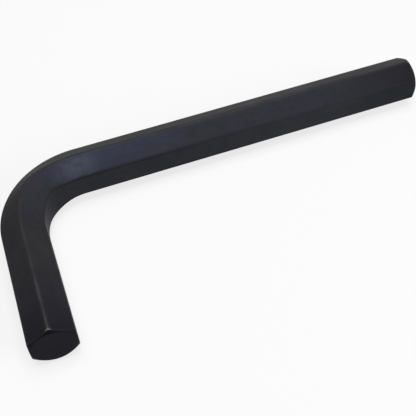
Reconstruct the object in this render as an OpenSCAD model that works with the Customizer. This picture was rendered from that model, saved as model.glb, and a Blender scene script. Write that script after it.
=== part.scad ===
// Hexagon key: one length of hexagonal bar, bent to a right angle, with both ends chamfered.
// The key lies flat, with a corner of the bar up and a corner down.
// The long arm runs along +X and the short arm along -Y.
// Origin: centre of the outer box, on the surface the key lies on.

/* [Bar] */
// Width across two opposite flats of the bar
flats = 14; // [8:0.5:24]
// Radius on the six long edges of the bar
edge_r = 0.8; // [0.2:0.1:1.6]
// Overall length of the long arm, to the outer flat of the short arm
long_arm = 154; // [100:1:250]
// Overall length of the short arm, to the outer flat of the long arm
short_arm = 70; // [60:1:120]

/* [Bend] */
// Radius of the bar's centre line in the bend
bend_r = 22.5; // [18:0.5:30]
// How far the upper and lower corners move outwards at the middle of the bend
ridge_shift = 2.2; // [0:0.1:3]
// How far the upper and lower corners sink towards the centre line at the middle of the bend
ridge_sink = 0.1; // [0:0.05:1]
// How far the inner flat moves outwards at the middle of the bend
inner_shift = 0.8; // [0:0.1:1.5]
// How far each edge of the inner flat swells up or down at the middle of the bend
inner_swell = 1.4; // [0:0.1:1.8]

/* [Ends] */
// Chamfer on the short arm's end, measured in from the middle of each flat
short_chamfer = 0.3; // [0.1:0.1:2]
// Chamfer on the long arm's end, measured in from the middle of each flat
long_chamfer = 0.7; // [0.1:0.1:2]
// Angle between the chamfers and the bar's centre line
chamfer_angle = 60; // [30:1:70]

/* [Hidden] */
steel = [0.17, 0.17, 0.18];
// Angle that the bar turns through
turn = 90;
// Slices along the bend, and slices in each rounded edge
bend_steps = 30;
edge_steps = 4;
$fn = 96;
// Distance of a sharp corner from the centre line, and half the width of one flat
corner = flats / sqrt(3);
half_flat = corner / 2;
// Height of the centre line when the key lies on its rounded lower edge
axis_z = corner - edge_r * (2 / sqrt(3) - 1);
// Where the centre of the outer box lies from the crossing of the two centre lines
box_x = (long_arm - flats) / 2;
box_y = (flats - short_arm) / 2;
// Radius of the round blank that cuts the chamfers, clear of the bar's corners
blank_r = corner + edge_r;

// Section of the bar

// Share of the bend's full swelling, 0 at both ends of the bend and 1 at its middle.
function swelling(angle) = pow(sin(180 * angle / turn), 4);

// The six sharp corners as [outwards, up], counted round from the upper outer one.
function sharp_corners(s) = [
    [flats / 2, half_flat],
    [s * ridge_shift, corner - s * ridge_sink],
    [-flats / 2 + s * inner_shift, half_flat + s * inner_swell],
    [-flats / 2 + s * inner_shift, -half_flat - s * inner_swell],
    [s * ridge_shift, -corner + s * ridge_sink],
    [flats / 2, -half_flat],
];

function unit(v) = v / norm(v);

// Points of the arc that rounds corner b, between its neighbours a and c.
function rounded(a, b, c) =
    let (
        to_a = unit(a - b),
        to_c = unit(c - b),
        half_angle = acos(to_a * to_c) / 2,
        centre = b + unit(to_a + to_c) * edge_r / sin(half_angle),
        start = b + to_a * edge_r / tan(half_angle) - centre,
        first = atan2(start.y, start.x),
        swept = 180 - 2 * half_angle
    )
    [
        for (i = [0:edge_steps])
            let (angle = first + swept * i / edge_steps)
            centre + edge_r * [cos(angle), sin(angle)]
    ];

// Outline of the bar at a share s of the swelling, as [outwards, up].
function section(s) =
    let (p = sharp_corners(s), n = len(p))
    [for (i = [0:n - 1]) each rounded(p[(i + n - 1) % n], p[i], p[(i + 1) % n])];

// Pieces of the key, about the crossing of the two centre lines

// A straight arm along +Z from 0, with a conical chamfer at its far end.
module arm(length, chamfer) {
    face_r = flats / 2 - chamfer;
    cone = (blank_r - face_r) / tan(chamfer_angle);
    intersection() {
        linear_extrude(length) polygon(section(0));
        rotate_extrude()
            polygon([[0, 0], [blank_r, 0], [blank_r, length - cone], [face_r, length], [0, length]]);
    }
}

// The bend, as slices of the swelling section turned about the bend's centre.
module bend() {
    rings = [
        for (i = [0:bend_steps])
            let (angle = turn * i / bend_steps)
            [
                for (p = section(swelling(angle)))
                    [-(bend_r + p.x) * sin(angle), (bend_r + p.x) * cos(angle), p.y]
            ]
    ];
    n = len(rings[0]);
    last = bend_steps * n;
    walls = [
        for (i = [0:bend_steps - 1], j = [0:n - 1])
            let (k = (j + 1) % n, a = i * n, b = a + n)
            each [[a + j, a + k, b + k], [a + j, b + k, b + j]]
    ];
    caps = [[for (j = [n - 1:-1:0]) j], [for (j = [0:n - 1]) last + j]];
    translate([bend_r, -bend_r, 0])
        polyhedron([for (ring = rings) each ring], concat(walls, caps));
}

// The whole key

module hex_key() {
    color(steel)
        translate([-box_x, -box_y, axis_z])
            union() {
                translate([bend_r, 0, 0])
                    rotate([90, 0, 90])
                        arm(long_arm - flats / 2 - bend_r, long_chamfer);
                translate([0, -bend_r, 0])
                    rotate([90, 0, 0])
                        arm(short_arm - flats / 2 - bend_r, short_chamfer);
                bend();
            }
}

hex_key();
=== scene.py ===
import math
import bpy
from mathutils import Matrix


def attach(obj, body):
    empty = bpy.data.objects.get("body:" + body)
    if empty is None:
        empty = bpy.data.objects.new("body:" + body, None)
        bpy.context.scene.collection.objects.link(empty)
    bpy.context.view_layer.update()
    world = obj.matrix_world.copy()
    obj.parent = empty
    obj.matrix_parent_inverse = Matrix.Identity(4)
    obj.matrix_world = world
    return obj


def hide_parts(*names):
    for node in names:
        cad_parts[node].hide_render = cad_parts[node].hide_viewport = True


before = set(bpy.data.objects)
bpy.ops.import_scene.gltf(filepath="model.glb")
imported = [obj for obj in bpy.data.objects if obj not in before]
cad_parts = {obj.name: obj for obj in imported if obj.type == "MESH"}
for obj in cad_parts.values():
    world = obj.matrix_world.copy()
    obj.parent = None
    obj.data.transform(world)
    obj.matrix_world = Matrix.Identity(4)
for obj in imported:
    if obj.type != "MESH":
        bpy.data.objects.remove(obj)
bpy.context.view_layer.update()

from types import SimpleNamespace

import bmesh
import bpy
from mathutils import Vector

# One bar of blackened hexagonal steel, bent to a right angle.
# All sizes are in metres, in the same frame as the CAD, and repeat its named values.

MM = 0.001

# The bar
FLATS = 14 * MM
EDGE_RADIUS = 0.8 * MM
CORNER = FLATS / math.sqrt(3)
# Half the angle between two flats, and how far the rounding of a long edge reaches into both
HALF_CORNER = math.radians(60)
EDGE_SETBACK = EDGE_RADIUS / math.tan(HALF_CORNER)
# Height of the centre line when the key lies on its rounded lower edge
AXIS_HEIGHT = CORNER - EDGE_RADIUS * (2 / math.sqrt(3) - 1)

# The two arms and the bend between them
LONG_ARM = 154 * MM
SHORT_ARM = 70 * MM
LONG_END = LONG_ARM / 2
SHORT_END = -SHORT_ARM / 2
LONG_LINE = SHORT_ARM / 2 - FLATS / 2
SHORT_LINE = FLATS / 2 - LONG_ARM / 2
BEND_RADIUS = 22.5 * MM
BEND_CENTRE = Vector((SHORT_LINE + BEND_RADIUS, LONG_LINE - BEND_RADIUS, AXIS_HEIGHT))
TURN = math.radians(90)

# What the steel does at the middle of the bend, and how sharply that grows towards it
RIDGE_SHIFT = 2.2 * MM
RIDGE_SINK = 0.1 * MM
INNER_SHIFT = 0.8 * MM
INNER_SWELL = 1.4 * MM
SWELLING_POWER = 4

# The turned chamfers, measured in from the middle of each flat
SHORT_CHAMFER = 0.3 * MM
LONG_CHAMFER = 0.7 * MM
CHAMFER_ANGLE = math.radians(60)
# The slight break on their edges, and the margins of each end face that are drawn darker and are
# marked off in the mesh
EDGE_BREAK = 0.1 * MM
DARK_MARGIN = 2 * EDGE_BREAK
FACE_MARGIN = 0.4 * MM

# The two ends: direction, centre of the end face, and its radius inside the chamfer
ENDS = (
    (
        Vector((0, -1, 0)),
        Vector((SHORT_LINE, SHORT_END, AXIS_HEIGHT)),
        FLATS / 2 - SHORT_CHAMFER,
    ),
    (
        Vector((1, 0, 0)),
        Vector((LONG_END, LONG_LINE, AXIS_HEIGHT)),
        FLATS / 2 - LONG_CHAMFER,
    ),
)

# How finely the piece is made
BEND_SLICES = 60
SHORT_SLICES = 9
ROUND_SEGMENTS = 6
BREAK_SEGMENTS = 3
ROUND_PROFILE = 0.5
FLAT_CUTS = 11
# A slice near each end and near the bend keeps the shading of the arms flat
END_SLICE = 1.5 * MM
BEND_MARGIN = 3 * MM
SMOOTH_ANGLE = math.radians(20)

# What tells points and edges apart: how far past the bend a slice of it is looked for, where the
# ridges and the inner edges lie on a slice, and the least length of an edge that runs along the
# bar and of one that crosses a flat
BEND_SLACK = 1 * MM
RIDGE_ABOVE = 0.9 * CORNER
INNER_BEYOND = -0.3 * FLATS
ALONG_STEP = 0.1 * MM
FLAT_EDGE = 2 * MM
# What counts as on a surface, as on the same ring of an end's rim, and as lined up
TOUCH = 0.01 * MM
RIM_TOUCH = 0.0006 * MM
RIM_DIGITS = 7
ALIGNED = math.radians(0.5)
# How far an end reaches back along the bar
REACH = 1.2 * MM

# Colours of the finish
OXIDE = (0.0198, 0.0198, 0.0243, 1)
OXIDE_THIN = (0.0232, 0.0232, 0.0282, 1)
OUTER_TINT = (0.90, 0.90, 0.79, 1)
INNER_TINT = (1.0, 1.04, 1.06, 1)
PLAIN_TINT = (1.0, 1.0, 0.90, 1)
NEAR_TINT = (1.0, 0.94, 1.20, 1)
FACE_TINT = (0.67, 0.65, 0.84, 1)
BEND_PURPLE = (0.0234, 0.0232, 0.0316, 1)
# Painted reflection: blue, and a lighter bloom, on the inner slopes at the bend
PAINTED_BLUE_REFLECTION = (0.0274, 0.0317, 0.0493, 1)
PAINTED_BLOOM = (0.0505, 0.0580, 0.0835, 1)
# Steel colour that wear and the painted edge highlights lighten towards
BARE_STEEL_AND_HIGHLIGHT = (0.1200, 0.1200, 0.1110, 1)

# Where the finish changes, as distances along the bar from the short arm's end
END_FACE = (0.3 * MM, 0.05 * MM)
NEAR_DARK = (-20 * MM, 24 * MM)
NEAR_TINTED = (24 * MM, 8 * MM)
FAR_DARK = (158 * MM, 225 * MM)
OUTER_TINTED = (40 * MM, 56 * MM)
PURPLE_RISE = (38 * MM, 52 * MM)
BLUE_RISE = (60 * MM, 73 * MM)
BLUE_FALL = (94 * MM, 121 * MM)
BLOOM_RISE = (65 * MM, 74 * MM)
BLOOM_FALL = (75 * MM, 86 * MM)
INNER_DARK = (62 * MM, 72 * MM)
INNER_LIFT = (125 * MM, 145 * MM)
# The brightness that is left where the far darkening ends
FAR_LEVEL = 0.3
# What the inner flat loses up to the end of the bend, and gains on the far half of the long arm
INNER_LOSS = -0.15
INNER_GAIN = 0.12
# The short end's face is painted lighter towards its top, a painted shade on its lower part: the
# heights above the centre line between which it gains, and the share it reaches
FACE_LIFT = (-2 * MM, 5 * MM)
FACE_TOP = 1.2

# How far the purple and the painted blue reflection wander along the bar, and how patchy the
# painted bloom is
TINT_WANDER = 3 * MM
BLOOM_PATCHES = (0.30, 0.60)
BLOOM_LEAST = 0.60
# It thins out towards the inner edge, as distances outwards from the bar's centre line, and
# towards a ridge, as heights above or below that line, each with the share that is left there
TINT_TO_EDGE = (-3.5 * MM, -6.5 * MM)
TINT_AT_EDGE = 0.5
TINT_TO_RIDGE = (7.0 * MM, 7.9 * MM)
TINT_AT_RIDGE = 0.35

# Tones of the edges: above 0 where painted highlights and wear lighten them, and below 0 where they
# are drawn darker, with painted shade on the chamfers.
# A ridge has a painted highlight on its crest, and a band beside it that is partly rubbed by hands
# and partly painted highlight, on the short arm, the bend and the long arm.
RIDGE_HIGHLIGHT = 0.27
RUB_AND_HIGHLIGHT_SHORT = 0.34
RUB_AND_HIGHLIGHT_BEND = 0.20
RUB_AND_HIGHLIGHT_LONG = 0.40
OUTER_WEAR = 0.20
RIM_HIGHLIGHT = 0.28
TIP_WEAR_AND_HIGHLIGHT = 1.8
INNER_DARKENING = -0.5
CONE_SHADE = -1.0
FACE_DARKENING = -0.2
# The least angle between two faces that makes an edge
EDGE_ANGLE = math.radians(4)

# The ridges: where they begin above or below the centre line, and how upright the surface is
# from the crest's side to its top, over which the painted crest highlight grows
RIDGE_ZONE = 0.8 * CORNER
CREST = (0.87, 1.0)
# Where the band of wear and painted highlight changes, and what the crest's painted highlight loses
# in the bend and gains past it
BAND_TO_BEND = (36 * MM, 50 * MM)
BAND_TO_LONG = (60 * MM, 80 * MM)
PAST_BEND = (92 * MM, 108 * MM)
CREST_LOSS = 0.5
CREST_GAIN = 1.1
# The band's half width, how far it leans inwards on the long arm, and the share of that lean
# that it loses past the bend
BAND_WIDTH = 1.3 * MM
BAND_LEAN = 0.45 * MM
LEAN_LOSS = 0.6
# The least painted highlight and wear of the short arm's ridge, and where it grows, as start, end
# and gain
SHORT_RIDGE_LEAST = 0.86
SHORT_RIDGE_STEPS = (
    (36 * MM, 41 * MM, 0.14),
    (27 * MM, 15 * MM, 0.62),
    (5 * MM, 1.5 * MM, 0.50),
)

# The inner edges: where their darkening rises and fades, and what is left of it before and after
DARK_RISE = (56 * MM, 66 * MM)
DARK_FADE = (110 * MM, 165 * MM)
DARK_BEFORE = 0.25
DARK_AFTER = 0.25
# The cones: heights between which their painted shade deepens towards the corners, and what is left
# of it below them, on the bar's inner and outer side
CONE_TO_CORNER = (0.6 * CORNER, 0.9 * CORNER)
CONE_LEAST = (0.0, 0.45)
# The rims: heights between which their painted highlight grows towards the corners
RIM_TO_TIP = (0.90 * CORNER, 0.98 * CORNER)

# Patterns: scale and detail of each, and how the drawn lines are stretched along the bar
CLOUD = (80, 3.0)
MOTTLE = (330, 4.0)
GRAIN = (1500, 2.0)
LINES = (1700, 4.0)
PATCHES = (120, 4.0)
LINE_STRETCH = (0.02, 1, 1)
# The span of nearly all of a pattern's values, and narrower ones
WHOLE_SPAN = (0.2, 0.8)
ROUGH_SPAN = (0.3, 0.7)
OXIDE_SPAN = (0.35, 0.65)
PATCH_SPAN = (0.35, 0.60)
# What each pattern does to the colour, what is left of the wear and painted highlight between
# patches, how steeply they lighten the colour towards that of bared steel, and what the darkest
# edge darkening leaves of the colour
GRAIN_TONES = (0.43, 0.57)
LINE_TONES = (0.45, 0.55)
MOTTLE_TONES = (0.92, 1.08)
PATCH_LEAST = 0.5
WEAR_AND_HIGHLIGHT_POWER = 2.0
DARKEST_EDGE = 0.45

# How far a surface faces across the bar: where a slope begins, and where a flat does
SLOPE_FACING = (0.10, 0.40)
FLAT_FACING = (0.70, 0.90)

# Gloss and relief
SPECULAR = 0.046
ROUGHNESS = (0.475, 0.555)
LINE_ROUGHNESS = 0.03
BARE_POLISH = -0.2
LINE_RELIEF = 0.6
GRAIN_RELIEF = 0.4
RELIEF_STRENGTH = 0.3
RELIEF_DEPTH = 0.02 * MM

# The floor: its width, its own colour, and how much of it shows as plain white
FLOOR_SIZE = 4
FLOOR_COLOUR = (0.88, 0.88, 0.88, 1)
FLOOR_WHITE = 0.75

# Light: the dim world, the distance and width of every lamp, and each lamp's name, direction as
# azimuth and elevation in degrees, and power in watts
WHITE = (1, 1, 1, 1)
WORLD_LIGHT = 0.1
LAMP_DISTANCE = 1.0
LAMP_SIZE = 0.6
SOFTBOXES = (
    ("overhead", 0, 89, 7.4),
    ("front_right", 315, 22, 5.5),
    ("fill", 45, 55, 0.6),
)

# The camera: sensor and lens in millimetres, the nearest it sees, place, and turns in degrees
SENSOR_WIDTH = 36
LENS = 64.192
NEAREST = 0.01
CAMERA_PLACE = (-0.057358, -0.150058, 0.190211)
CAMERA_TURNS = (39.94611, 2.55954, -20.01555)


# Selecting and editing

def edit_mesh():
    """The mesh of the piece that is being edited."""
    return bmesh.from_edit_mesh(bpy.context.edit_object.data)


def show_selection(mesh):
    """Makes Blender see the selection that was made in code."""
    mesh.select_flush_mode()
    bmesh.update_edit_mesh(bpy.context.edit_object.data)


def select_points(wanted):
    """Selects the points whose place passes the test."""
    bpy.ops.mesh.select_mode(type="VERT")
    bpy.ops.mesh.select_all(action="DESELECT")
    mesh = edit_mesh()
    for point in mesh.verts:
        point.select = wanted(point.co)
    show_selection(mesh)


def select_edges(wanted):
    """Selects the edges whose two ends pass the test."""
    bpy.ops.mesh.select_mode(type="EDGE")
    bpy.ops.mesh.select_all(action="DESELECT")
    mesh = edit_mesh()
    for edge in mesh.edges:
        edge.select = wanted(edge.verts[0].co, edge.verts[1].co)
    show_selection(mesh)


def select_face_towards(direction):
    """Selects the one face that lies furthest in a direction."""
    bpy.ops.mesh.select_mode(type="FACE")
    bpy.ops.mesh.select_all(action="DESELECT")
    mesh = edit_mesh()
    furthest = max(mesh.faces, key=lambda face: face.calc_center_median().dot(direction))
    furthest.select = True
    show_selection(mesh)


def extrude_by(shift):
    """Draws the selected face out along a line."""
    bpy.ops.mesh.extrude_region_move(TRANSFORM_OT_translate={"value": shift})


def move_points(wanted, shift):
    """Moves the points whose place passes the test."""
    select_points(wanted)
    bpy.ops.transform.translate(value=shift)


def round_selected_edges(reach, segments):
    """Rounds the selected edges, as far as a reach on both sides."""
    bpy.ops.mesh.bevel(
        offset=reach,
        offset_type="OFFSET",
        segments=segments,
        profile=ROUND_PROFILE,
        affect="EDGES",
        clamp_overlap=False,
    )


# Places on the bar

def section_place(point):
    """Where a point lies on the bar's section: outwards from the centre line, and up."""
    up = point.z - AXIS_HEIGHT
    if point.x > BEND_CENTRE.x:
        return point.y - LONG_LINE, up
    if point.y < BEND_CENTRE.y:
        return SHORT_LINE - point.x, up
    return math.hypot(point.x - BEND_CENTRE.x, point.y - BEND_CENTRE.y) - BEND_RADIUS, up


def bend_angle(point):
    """Angle along the bend, 0 at the long arm and 90 degrees at the short arm."""
    return math.atan2(BEND_CENTRE.x - point.x, point.y - BEND_CENTRE.y)


def swelling(angle):
    """Share of the full swelling at an angle of the bend, 1 at its middle."""
    return math.sin(math.pi / TURN * min(max(angle, 0.0), TURN)) ** SWELLING_POWER


def outwards_along(angle):
    """The direction away from the centre of the bend, at an angle of it."""
    return Vector((-math.sin(angle), math.cos(angle), 0))


def outwards_at(point):
    """The direction outwards across the bar, wherever a point lies on it."""
    if point.x > BEND_CENTRE.x:
        return Vector((0, 1, 0))
    if point.y < BEND_CENTRE.y:
        return Vector((-1, 0, 0))
    return outwards_along(bend_angle(point))


def from_ridge(point):
    """How far outwards a point lies from the upper and lower ridges."""
    shift = 0.0
    if point.x < BEND_CENTRE.x and point.y > BEND_CENTRE.y:
        shift = RIDGE_SHIFT * swelling(bend_angle(point))
    return section_place(point)[0] - shift


def along_bar(point):
    """Distance along the centre line from the short arm's end."""
    short_part = BEND_CENTRE.y - SHORT_END
    if point.x > BEND_CENTRE.x:
        return short_part + BEND_RADIUS * TURN + point.x - BEND_CENTRE.x
    if point.y < BEND_CENTRE.y:
        return point.y - SHORT_END
    return short_part + BEND_RADIUS * (TURN - bend_angle(point))


def runs_along(a, b):
    """Whether an edge runs along the bar, and not across it."""
    return abs(along_bar(a) - along_bar(b)) > ALONG_STEP


def crosses_flat(a, b):
    """Whether an edge runs across one of the six flats."""
    return not runs_along(a, b) and (a - b).length > FLAT_EDGE


def end_place(place, direction, centre):
    """How far back a point lies from an end face, and its offset from the centre line."""
    offset = place - centre
    depth = -offset.dot(direction)
    return depth, offset + depth * direction


def on_cone(place, direction, centre, face_radius):
    """Whether a point lies on an end's turned chamfer."""
    depth, offset = end_place(place, direction, centre)
    cone_radius = face_radius + depth * math.tan(CHAMFER_ANGLE)
    return depth > TOUCH and abs(offset.length - cone_radius) < TOUCH


# Making the key

def draw_bar():
    """Draws a hexagon out along the short arm, round the bend and along the long arm."""
    bpy.ops.object.select_all(action="DESELECT")
    bpy.ops.mesh.primitive_circle_add(
        vertices=6,
        radius=CORNER,
        fill_type="NGON",
        location=(SHORT_LINE, SHORT_END, AXIS_HEIGHT),
        rotation=(math.radians(90), 0, 0),
    )
    bar = bpy.context.object
    bar.name = "key_bar"
    bar.data.name = "key_bar"
    bpy.ops.object.transform_apply(location=True, rotation=True, scale=True)
    bpy.ops.object.mode_set(mode="EDIT")
    bpy.ops.mesh.select_all(action="SELECT")
    straight = BEND_CENTRE.y - SHORT_END
    slice_step = (straight - END_SLICE - BEND_MARGIN) / SHORT_SLICES
    for step in (END_SLICE, *[slice_step] * SHORT_SLICES, BEND_MARGIN):
        extrude_by((0, step, 0))
    bpy.ops.mesh.spin(
        steps=BEND_SLICES,
        angle=TURN,
        center=BEND_CENTRE,
        axis=(0, 0, 1),
    )
    straight = LONG_END - BEND_CENTRE.x
    for step in (BEND_MARGIN, straight - END_SLICE - BEND_MARGIN, END_SLICE):
        extrude_by((step, 0, 0))
    return bar


def swell_bend():
    """Moves the corners of each slice of the bend as the steel does when it is bent."""
    slice_angle = TURN / BEND_SLICES
    for index in range(1, BEND_SLICES):
        angle = TURN * index / BEND_SLICES
        share = swelling(angle)
        outwards = outwards_along(angle)

        def in_slice(place):
            beside_x = place.x <= BEND_CENTRE.x + BEND_SLACK
            beside_y = place.y >= BEND_CENTRE.y - BEND_SLACK
            return beside_x and beside_y and abs(bend_angle(place) - angle) < slice_angle / 2

        for side in (1, -1):
            def on_ridge(place):
                return in_slice(place) and (place.z - AXIS_HEIGHT) * side > RIDGE_ABOVE

            def on_inner_edge(place):
                from_line, up = section_place(place)
                edge = from_line < INNER_BEYOND and 0 < up * side < RIDGE_ABOVE
                return in_slice(place) and edge

            up = Vector((0, 0, side))
            move_points(on_ridge, share * (RIDGE_SHIFT * outwards - RIDGE_SINK * up))
            move_points(on_inner_edge, share * (INNER_SHIFT * outwards + INNER_SWELL * up))


def round_long_edges():
    """Rounds the six long edges, and cuts the flats between them into strips."""
    select_edges(runs_along)
    round_selected_edges(EDGE_SETBACK, ROUND_SEGMENTS)
    select_edges(crosses_flat)
    bpy.ops.mesh.subdivide(number_cuts=FLAT_CUTS)


def chamfer_end(direction, centre, face_radius):
    """Turns a chamfer on the end that faces a direction."""

    def depth_and_radius(place):
        depth, offset = end_place(place, direction, centre)
        return depth, offset.length

    # The end's rim slides back to where the cone meets the flats.
    at_end = [depth_and_radius(point.co) for point in edit_mesh().verts]
    radii = sorted({round(radius, RIM_DIGITS) for depth, radius in at_end if depth < TOUCH})
    for rim_radius in radii:

        def on_this_rim(place):
            depth, radius = depth_and_radius(place)
            return depth < TOUCH and abs(radius - rim_radius) < RIM_TOUCH

        slide = (rim_radius - face_radius) / math.tan(CHAMFER_ANGLE)
        move_points(on_this_rim, -slide * direction)
    # The end face is drawn forward from the rim, pressed flat and made round.
    select_face_towards(direction)
    extrude_by((0, 0, 0))
    flat = [1.0 - abs(axis) for axis in direction]
    bpy.ops.transform.resize(value=flat, center_override=centre)
    bpy.ops.transform.tosphere(value=1.0, center_override=centre)
    drawn = next(depth_and_radius(point.co)[1] for point in edit_mesh().verts if point.select)
    scale = face_radius / drawn
    bpy.ops.transform.resize(value=(scale, scale, scale), center_override=centre)


def break_chamfer_edges(direction, centre, face_radius):
    """Takes the sharpness off both edges of a chamfer, and marks off its middle and the face."""

    def on_rim(a, b):
        depths = [end_place(place, direction, centre)[0] for place in (a, b)]
        on_face = max(depths) < TOUCH
        on_arm = min(depths) > TOUCH and max(depths) < REACH
        return on_face or on_arm

    def up_the_cone(a, b):
        if not all(on_cone(place, direction, centre, face_radius) for place in (a, b)):
            return False
        first, second = [end_place(place, direction, centre)[1] for place in (a, b)]
        return first.angle(second) < ALIGNED

    select_edges(on_rim)
    round_selected_edges(EDGE_BREAK, BREAK_SEGMENTS)
    select_edges(up_the_cone)
    bpy.ops.mesh.subdivide(number_cuts=1)
    select_face_towards(direction)
    bpy.ops.mesh.inset(thickness=FACE_MARGIN)


def model_key():
    """The whole key as one closed mesh."""
    bar = draw_bar()
    swell_bend()
    round_long_edges()
    for direction, centre, face_radius in ENDS:
        chamfer_end(direction, centre, face_radius)
        break_chamfer_edges(direction, centre, face_radius)
    bpy.ops.mesh.select_all(action="SELECT")
    bpy.ops.mesh.normals_make_consistent(inside=False)
    bpy.ops.object.mode_set(mode="OBJECT")
    mark_surface(bar)
    bpy.ops.object.shade_smooth_by_angle(angle=SMOOTH_ANGLE)
    return bar


# Marking where painted highlights, wear, painted shade and darkening lie

def share_between(value, start, end):
    """How far a value has come from start to end, from 0 to 1."""
    return min(max((value - start) / (end - start), 0.0), 1.0)


def end_tone(place, direction, centre, face_radius):
    """The tone of the edges round an end."""
    depth, offset = end_place(place, direction, centre)
    if depth < TOUCH:
        return FACE_DARKENING if offset.length > face_radius - DARK_MARGIN else 0.0
    # Painted shade: the chamfer is drawn darker, deepest towards the corners
    if on_cone(place, direction, centre, face_radius):
        least = CONE_LEAST[section_place(place)[0] > 0]
        to_corner = share_between(abs(offset.z), *CONE_TO_CORNER)
        return CONE_SHADE * (least + (1.0 - least) * to_corner)
    if depth < EDGE_BREAK:
        return FACE_DARKENING
    # Painted highlight: the rim beside the chamfer is lit, brightest towards the corners above and
    # below, where wear adds to it
    to_tip = share_between(abs(offset.z), *RIM_TO_TIP)
    return RIM_HIGHLIGHT + (TIP_WEAR_AND_HIGHLIGHT - RIM_HIGHLIGHT) * to_tip ** 2


def ridge_tone(place, upright):
    """A ridge's painted highlight: a line on its crest where the surface faces up, and the band
    beside it, partly rubbed by hands and partly painted highlight.
    """
    along = along_bar(place)
    to_bend = share_between(along, *BAND_TO_BEND)
    to_long = share_between(along, *BAND_TO_LONG)
    past_bend = share_between(along, *PAST_BEND)
    crest = RIDGE_HIGHLIGHT * share_between(upright, *CREST)
    crest *= 1.0 - CREST_LOSS * to_long + CREST_GAIN * past_bend
    rubbed_and_lit = RUB_AND_HIGHLIGHT_SHORT + (RUB_AND_HIGHLIGHT_BEND - RUB_AND_HIGHLIGHT_SHORT) * to_bend + (RUB_AND_HIGHLIGHT_LONG - RUB_AND_HIGHLIGHT_BEND) * to_long
    lean = BAND_LEAN * (to_long - LEAN_LOSS * past_bend)
    rubbed_and_lit *= share_between(abs(from_ridge(place) + lean), BAND_WIDTH, 0.0)
    strength = SHORT_RIDGE_LEAST
    for start, end, gain in SHORT_RIDGE_STEPS:
        strength += gain * share_between(along, start, end)
    return math.hypot(crest, rubbed_and_lit) * strength


def inner_edge_tone(place):
    """The darkening drawn on an edge of the inner flat."""
    along = along_bar(place)
    before = DARK_BEFORE + (1.0 - DARK_BEFORE) * share_between(along, *DARK_RISE)
    after = 1.0 - (1.0 - DARK_AFTER) * share_between(along, *DARK_FADE)
    return INNER_DARKENING * before * after


def edge_tone(place, sharpest, upright):
    """Above 0 where painted highlights and wear lighten an edge, down to -1 where it is drawn
    darker, and 0 on the flats.
    """
    for end in ENDS:
        if end_place(place, *end[:2])[0] < REACH:
            return end_tone(place, *end)
    from_line, up = section_place(place)
    if abs(up) > RIDGE_ZONE:
        return ridge_tone(place, upright)
    if sharpest < EDGE_ANGLE:
        return 0.0
    return OUTER_WEAR if from_line > 0 else inner_edge_tone(place)


def store(piece, name, kind, field, values):
    """Keeps a value for each point of a piece's mesh."""
    piece.data.attributes.new(name, kind, "POINT").data.foreach_set(field, values)


def mark_surface(bar):
    """Stores what the finish reads: each point's place on the straightened bar, the tone of the
    edges, and which way the surface faces across the bar, 1 outwards and -1 inwards."""
    mesh = bmesh.new()
    mesh.from_mesh(bar.data)
    mesh.normal_update()
    places, tones, facings = [], [], []
    for point in mesh.verts:
        places.extend((along_bar(point.co), *section_place(point.co)))
        sharpest = max(edge.calc_face_angle(0) for edge in point.link_edges)
        tones.append(edge_tone(point.co, sharpest, abs(point.normal.z)))
        facings.append(point.normal.dot(outwards_at(point.co)))
    mesh.free()
    store(bar, "bar_place", "FLOAT_VECTOR", "vector", places)
    store(bar, "edge_tone", "FLOAT", "value", tones)
    store(bar, "facing", "FLOAT", "value", facings)


# Building materials

def feed(tree, socket, value):
    """Gives a socket either a link or a constant."""
    if isinstance(value, bpy.types.NodeSocket):
        tree.links.new(value, socket)
    else:
        socket.default_value = value


def stored(tree, name):
    """A value that the piece's mesh stores at its points."""
    node = tree.nodes.new("ShaderNodeAttribute")
    node.attribute_name = name
    return node.outputs["Fac"]


def noise(tree, place, scale, detail):
    """A noise pattern, mostly between 0.3 and 0.7."""
    node = tree.nodes.new("ShaderNodeTexNoise")
    node.inputs["Scale"].default_value = scale
    node.inputs["Detail"].default_value = detail
    tree.links.new(place, node.inputs["Vector"])
    return node.outputs["Fac"]


def ramp(tree, value, start, end, at_start=0.0, at_end=1.0):
    """A smooth change from one level to another, flat before and after."""
    node = tree.nodes.new("ShaderNodeMapRange")
    node.interpolation_type = "SMOOTHSTEP"
    tree.links.new(value, node.inputs["Value"])
    levels = {"From Min": start, "From Max": end, "To Min": at_start, "To Max": at_end}
    for name, level in levels.items():
        node.inputs[name].default_value = level
    return node.outputs["Result"]


def calculate(tree, operation, first, second):
    """One value worked out from two."""
    node = tree.nodes.new("ShaderNodeMath")
    node.operation = operation
    feed(tree, node.inputs[0], first)
    feed(tree, node.inputs[1], second)
    return node.outputs["Value"]


def total(tree, first, second):
    """Two values added."""
    return calculate(tree, "ADD", first, second)


def product(tree, first, *others):
    """Several values multiplied."""
    for other in others:
        first = calculate(tree, "MULTIPLY", first, other)
    return first


def blend(tree, share, first, second, kind="MIX"):
    """One colour laid over another."""
    node = tree.nodes.new("ShaderNodeMix")
    node.data_type = "RGBA"
    node.blend_type = kind
    feed(tree, node.inputs[0], share)
    feed(tree, node.inputs[6], first)
    feed(tree, node.inputs[7], second)
    return node.outputs[2]


def tint(tree, share, colour, other):
    """A colour multiplied by another."""
    return blend(tree, share, colour, other, "MULTIPLY")


# Finish

def drawn_lines(tree, bar_place):
    """Fine lines that run along the bar, from the die it was drawn through."""
    stretch = tree.nodes.new("ShaderNodeMapping")
    stretch.inputs["Scale"].default_value = LINE_STRETCH
    tree.links.new(bar_place, stretch.inputs["Vector"])
    return noise(tree, stretch.outputs["Vector"], *LINES)


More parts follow.
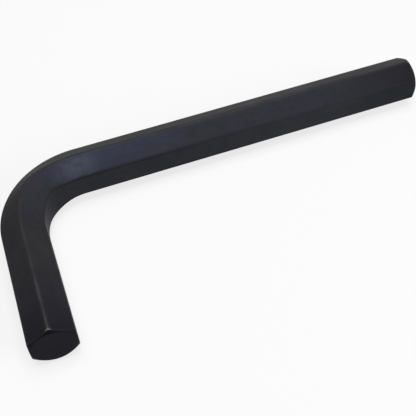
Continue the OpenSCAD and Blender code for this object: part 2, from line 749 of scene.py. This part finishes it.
def read_surface(tree):
    """What the finish depends on: places on the bar, the tone of its edges, and patterns."""
    place = tree.nodes.new("ShaderNodeTexCoord").outputs["Object"]
    bar = tree.nodes.new("ShaderNodeAttribute")
    bar.attribute_name = "bar_place"
    split = tree.nodes.new("ShaderNodeSeparateXYZ")
    tree.links.new(bar.outputs["Vector"], split.inputs["Vector"])
    return SimpleNamespace(
        along=split.outputs["X"],
        outwards=split.outputs["Y"],
        up=split.outputs["Z"],
        tone=stored(tree, "edge_tone"),
        facing=stored(tree, "facing"),
        cloud=noise(tree, place, *CLOUD),
        mottle=noise(tree, place, *MOTTLE),
        grain=noise(tree, place, *GRAIN),
        patches=noise(tree, place, *PATCHES),
        lines=drawn_lines(tree, bar.outputs["Vector"]),
    )


def flat_share(tree, surface, side):
    """1 on the outer flat where the side is 1, and on the inner flat where it is -1."""
    return ramp(tree, surface.facing, *[side * level for level in FLAT_FACING])


def slope_share(tree, surface, side):
    """1 on the outer slopes where the side is 1, and on the inner slopes where it is -1."""
    begins = ramp(tree, surface.facing, *[side * level for level in SLOPE_FACING])
    ends = ramp(tree, surface.facing, *[side * level for level in reversed(FLAT_FACING)])
    return product(tree, begins, ends)


def rise_and_fall(tree, place, rise, fall):
    """1 on a stretch of the bar, with soft ends."""
    return product(tree, ramp(tree, place, *rise), ramp(tree, place, *fall, 1.0, 0.0))


def oxide(tree, surface):
    """The oxide: less blue on the outer slopes and short of the bend, purplish near the end."""
    past_bend = ramp(tree, surface.along, *OUTER_TINTED)
    short_of_bend = calculate(tree, "SUBTRACT", 1.0, past_bend)
    outer_slope = product(tree, slope_share(tree, surface, 1), past_bend)
    colour = blend(tree, ramp(tree, surface.cloud, *OXIDE_SPAN), OXIDE, OXIDE_THIN)
    colour = tint(tree, flat_share(tree, surface, -1), colour, INNER_TINT)
    colour = tint(tree, outer_slope, colour, OUTER_TINT)
    colour = tint(tree, short_of_bend, colour, PLAIN_TINT)
    return tint(tree, ramp(tree, surface.along, *NEAR_TINTED), colour, NEAR_TINT)


def purple_and_painted_reflection(tree, surface, colour):
    """The purple on the inner slopes at the bend, a painted blue reflection over it, and a painted
    lighter bloom within that reflection.
    """
    wander = ramp(tree, surface.cloud, *WHOLE_SPAN, -TINT_WANDER, TINT_WANDER)
    place = total(tree, surface.along, wander)
    inner_slope = slope_share(tree, surface, -1)
    colour = blend(
        tree,
        product(tree, inner_slope, ramp(tree, place, *PURPLE_RISE)),
        colour,
        BEND_PURPLE,
    )
    height = calculate(tree, "ABSOLUTE", surface.up, 0.0)
    inner_slope = product(
        tree,
        inner_slope,
        ramp(tree, surface.outwards, *TINT_TO_EDGE, 1.0, TINT_AT_EDGE),
        ramp(tree, height, *TINT_TO_RIDGE, 1.0, TINT_AT_RIDGE),
    )
    # The painted blue reflection, and its painted lighter bloom
    blue = rise_and_fall(tree, place, BLUE_RISE, BLUE_FALL)
    colour = blend(tree, product(tree, inner_slope, blue), colour, PAINTED_BLUE_REFLECTION)
    patchy = ramp(tree, surface.mottle, *BLOOM_PATCHES, BLOOM_LEAST, 1.0)
    bloom = product(tree, rise_and_fall(tree, place, BLOOM_RISE, BLOOM_FALL), patchy)
    return blend(tree, product(tree, inner_slope, bloom), colour, PAINTED_BLOOM)


def brightness(tree, surface):
    """Darker towards both ends, with a light mottle, fine grain and drawn lines all over."""
    near = ramp(tree, surface.along, *NEAR_DARK)
    far = ramp(tree, surface.along, *FAR_DARK, 1.0, FAR_LEVEL)
    shift = total(
        tree,
        ramp(tree, surface.along, *INNER_DARK, INNER_LOSS, 0.0),
        ramp(tree, surface.along, *INNER_LIFT, 0.0, INNER_GAIN),
    )
    far = total(tree, far, product(tree, flat_share(tree, surface, -1), shift))
    speckle = total(
        tree,
        ramp(tree, surface.grain, *WHOLE_SPAN, *GRAIN_TONES),
        ramp(tree, surface.lines, *WHOLE_SPAN, *LINE_TONES),
    )
    return product(tree, near, far, speckle, ramp(tree, surface.mottle, *WHOLE_SPAN, *MOTTLE_TONES))


def short_face(tree, surface, colour):
    """The short end's face, which is darker than the arm, and painted lighter towards its top as
    shade on its lower part.
    """
    # Painted shade: the face is lighter towards its top and darker low down
    lift = ramp(tree, surface.up, *FACE_LIFT, 1.0, FACE_TOP)
    face_tint = tint(tree, 1.0, lift, FACE_TINT)
    return tint(tree, ramp(tree, surface.along, *END_FACE), colour, face_tint)


def bare_and_lit_share(tree, surface):
    """How far painted highlights and wear lighten the edges towards the colour of bared steel, in
    patches along them.
    """
    patchy = ramp(tree, surface.patches, *PATCH_SPAN, PATCH_LEAST, 1.0)
    lit_and_worn = calculate(tree, "MAXIMUM", surface.tone, 0.0)
    lit_and_worn = calculate(tree, "POWER", lit_and_worn, WEAR_AND_HIGHLIGHT_POWER)
    return calculate(tree, "MINIMUM", product(tree, lit_and_worn, patchy), 1.0)


def gloss(tree, surface, bare_and_lit):
    """The roughness: cloudy, streaked by the drawn lines, and polished where wear and painted
    highlights lighten the edges.
    """
    rough = total(
        tree,
        ramp(tree, surface.cloud, *ROUGH_SPAN, *ROUGHNESS),
        ramp(tree, surface.lines, *WHOLE_SPAN, -LINE_ROUGHNESS, LINE_ROUGHNESS),
    )
    return total(tree, rough, product(tree, bare_and_lit, BARE_POLISH))


def relief(tree, surface):
    """The fine unevenness that drawn lines and grain leave."""
    node = tree.nodes.new("ShaderNodeBump")
    node.inputs["Strength"].default_value = RELIEF_STRENGTH
    node.inputs["Distance"].default_value = RELIEF_DEPTH
    height = total(
        tree,
        product(tree, surface.lines, LINE_RELIEF),
        product(tree, surface.grain, GRAIN_RELIEF),
    )
    tree.links.new(height, node.inputs["Height"])
    return node.outputs["Normal"]


def blackened_steel():
    """Black oxide on drawn steel: mottled, purple with a painted blue reflection at the bend, and
    with painted highlights, wear and darkening on the edges.
    """
    material = bpy.data.materials.new("black_oxide_steel")
    material.use_nodes = True
    tree = material.node_tree
    shader = tree.nodes["Principled BSDF"]
    shader.inputs["Specular IOR Level"].default_value = SPECULAR
    surface = read_surface(tree)
    bare_and_lit = bare_and_lit_share(tree, surface)
    # Painted shade on the chamfers, and darker inner edges and end-face margins
    edge_darkening = ramp(tree, surface.tone, 0.0, -1.0, 1.0, DARKEST_EDGE)

    colour = purple_and_painted_reflection(tree, surface, oxide(tree, surface))
    colour = tint(tree, 1.0, colour, brightness(tree, surface))
    colour = short_face(tree, surface, colour)
    colour = tint(tree, 1.0, colour, edge_darkening)
    # Painted highlights on the ridges and rims, and wear, lighten the colour towards that of bared
    # steel
    colour = blend(tree, bare_and_lit, colour, BARE_STEEL_AND_HIGHLIGHT)
    tree.links.new(colour, shader.inputs["Base Color"])
    tree.links.new(gloss(tree, surface, bare_and_lit), shader.inputs["Roughness"])
    tree.links.new(relief(tree, surface), shader.inputs["Normal"])
    return material


# Studio

def shown_white(tree):
    """1 for what the camera and reflections see, and 0 for the light that falls on things."""
    rays = tree.nodes.new("ShaderNodeLightPath").outputs
    seen = calculate(tree, "MAXIMUM", rays["Is Camera Ray"], rays["Is Glossy Ray"])
    return calculate(tree, "MAXIMUM", seen, rays["Is Transmission Ray"])


def pale_floor():
    """A pale matt floor, near white to the camera and in reflections, which keeps the shadow."""
    material = bpy.data.materials.new("pale_floor")
    material.use_nodes = True
    tree = material.node_tree
    tree.nodes.clear()
    output = tree.nodes.new("ShaderNodeOutputMaterial")
    matt = tree.nodes.new("ShaderNodeBsdfDiffuse")
    matt.inputs["Color"].default_value = FLOOR_COLOUR
    white = tree.nodes.new("ShaderNodeEmission")
    share = product(tree, shown_white(tree), FLOOR_WHITE)
    both = tree.nodes.new("ShaderNodeMixShader")
    tree.links.new(share, both.inputs["Fac"])
    tree.links.new(matt.outputs["BSDF"], both.inputs[1])
    tree.links.new(white.outputs["Emission"], both.inputs[2])
    tree.links.new(both.outputs["Shader"], output.inputs["Surface"])
    return material


def add_floor():
    """The plain floor that the key lies on."""
    bpy.ops.object.select_all(action="DESELECT")
    bpy.ops.mesh.primitive_plane_add(size=FLOOR_SIZE)
    floor = bpy.context.object
    floor.name = "floor"
    floor.data.materials.append(pale_floor())


def add_lamp(name, azimuth, elevation, power):
    """A square softbox that looks at the key."""
    around, above = math.radians(azimuth), math.radians(elevation)
    level = math.cos(above)
    away = Vector((math.cos(around) * level, math.sin(around) * level, math.sin(above)))
    lamp_data = bpy.data.lights.new(name, "AREA")
    lamp_data.shape = "SQUARE"
    lamp_data.size = LAMP_SIZE
    lamp_data.energy = power
    lamp = bpy.data.objects.new(name, lamp_data)
    lamp.location = away * LAMP_DISTANCE
    lamp.rotation_euler = (-away).to_track_quat("-Z", "Y").to_euler()
    bpy.context.scene.collection.objects.link(lamp)


def add_world():
    """A dim world that shows as plain white."""
    world = bpy.data.worlds.new("studio")
    world.use_nodes = True
    tree = world.node_tree
    background = tree.nodes["Background"]
    background.inputs["Color"].default_value = WHITE
    strength = calculate(tree, "MAXIMUM", shown_white(tree), WORLD_LIGHT)
    tree.links.new(strength, background.inputs["Strength"])
    bpy.context.scene.world = world


def add_camera():
    """The camera, at the photograph's viewing angle."""
    camera_data = bpy.data.cameras.new("camera")
    camera_data.sensor_width = SENSOR_WIDTH
    camera_data.lens = LENS
    camera_data.clip_start = NEAREST
    camera = bpy.data.objects.new("camera", camera_data)
    camera.location = CAMERA_PLACE
    camera.rotation_euler = [math.radians(turn) for turn in CAMERA_TURNS]
    bpy.context.scene.collection.objects.link(camera)
    bpy.context.scene.camera = camera


key = model_key()
key.data.materials.append(blackened_steel())
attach(key, "root")
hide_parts("hex_key")

add_floor()
add_world()
for softbox in SOFTBOXES:
    add_lamp(*softbox)
add_camera()

bpy.context.scene.view_settings.view_transform = "Standard"
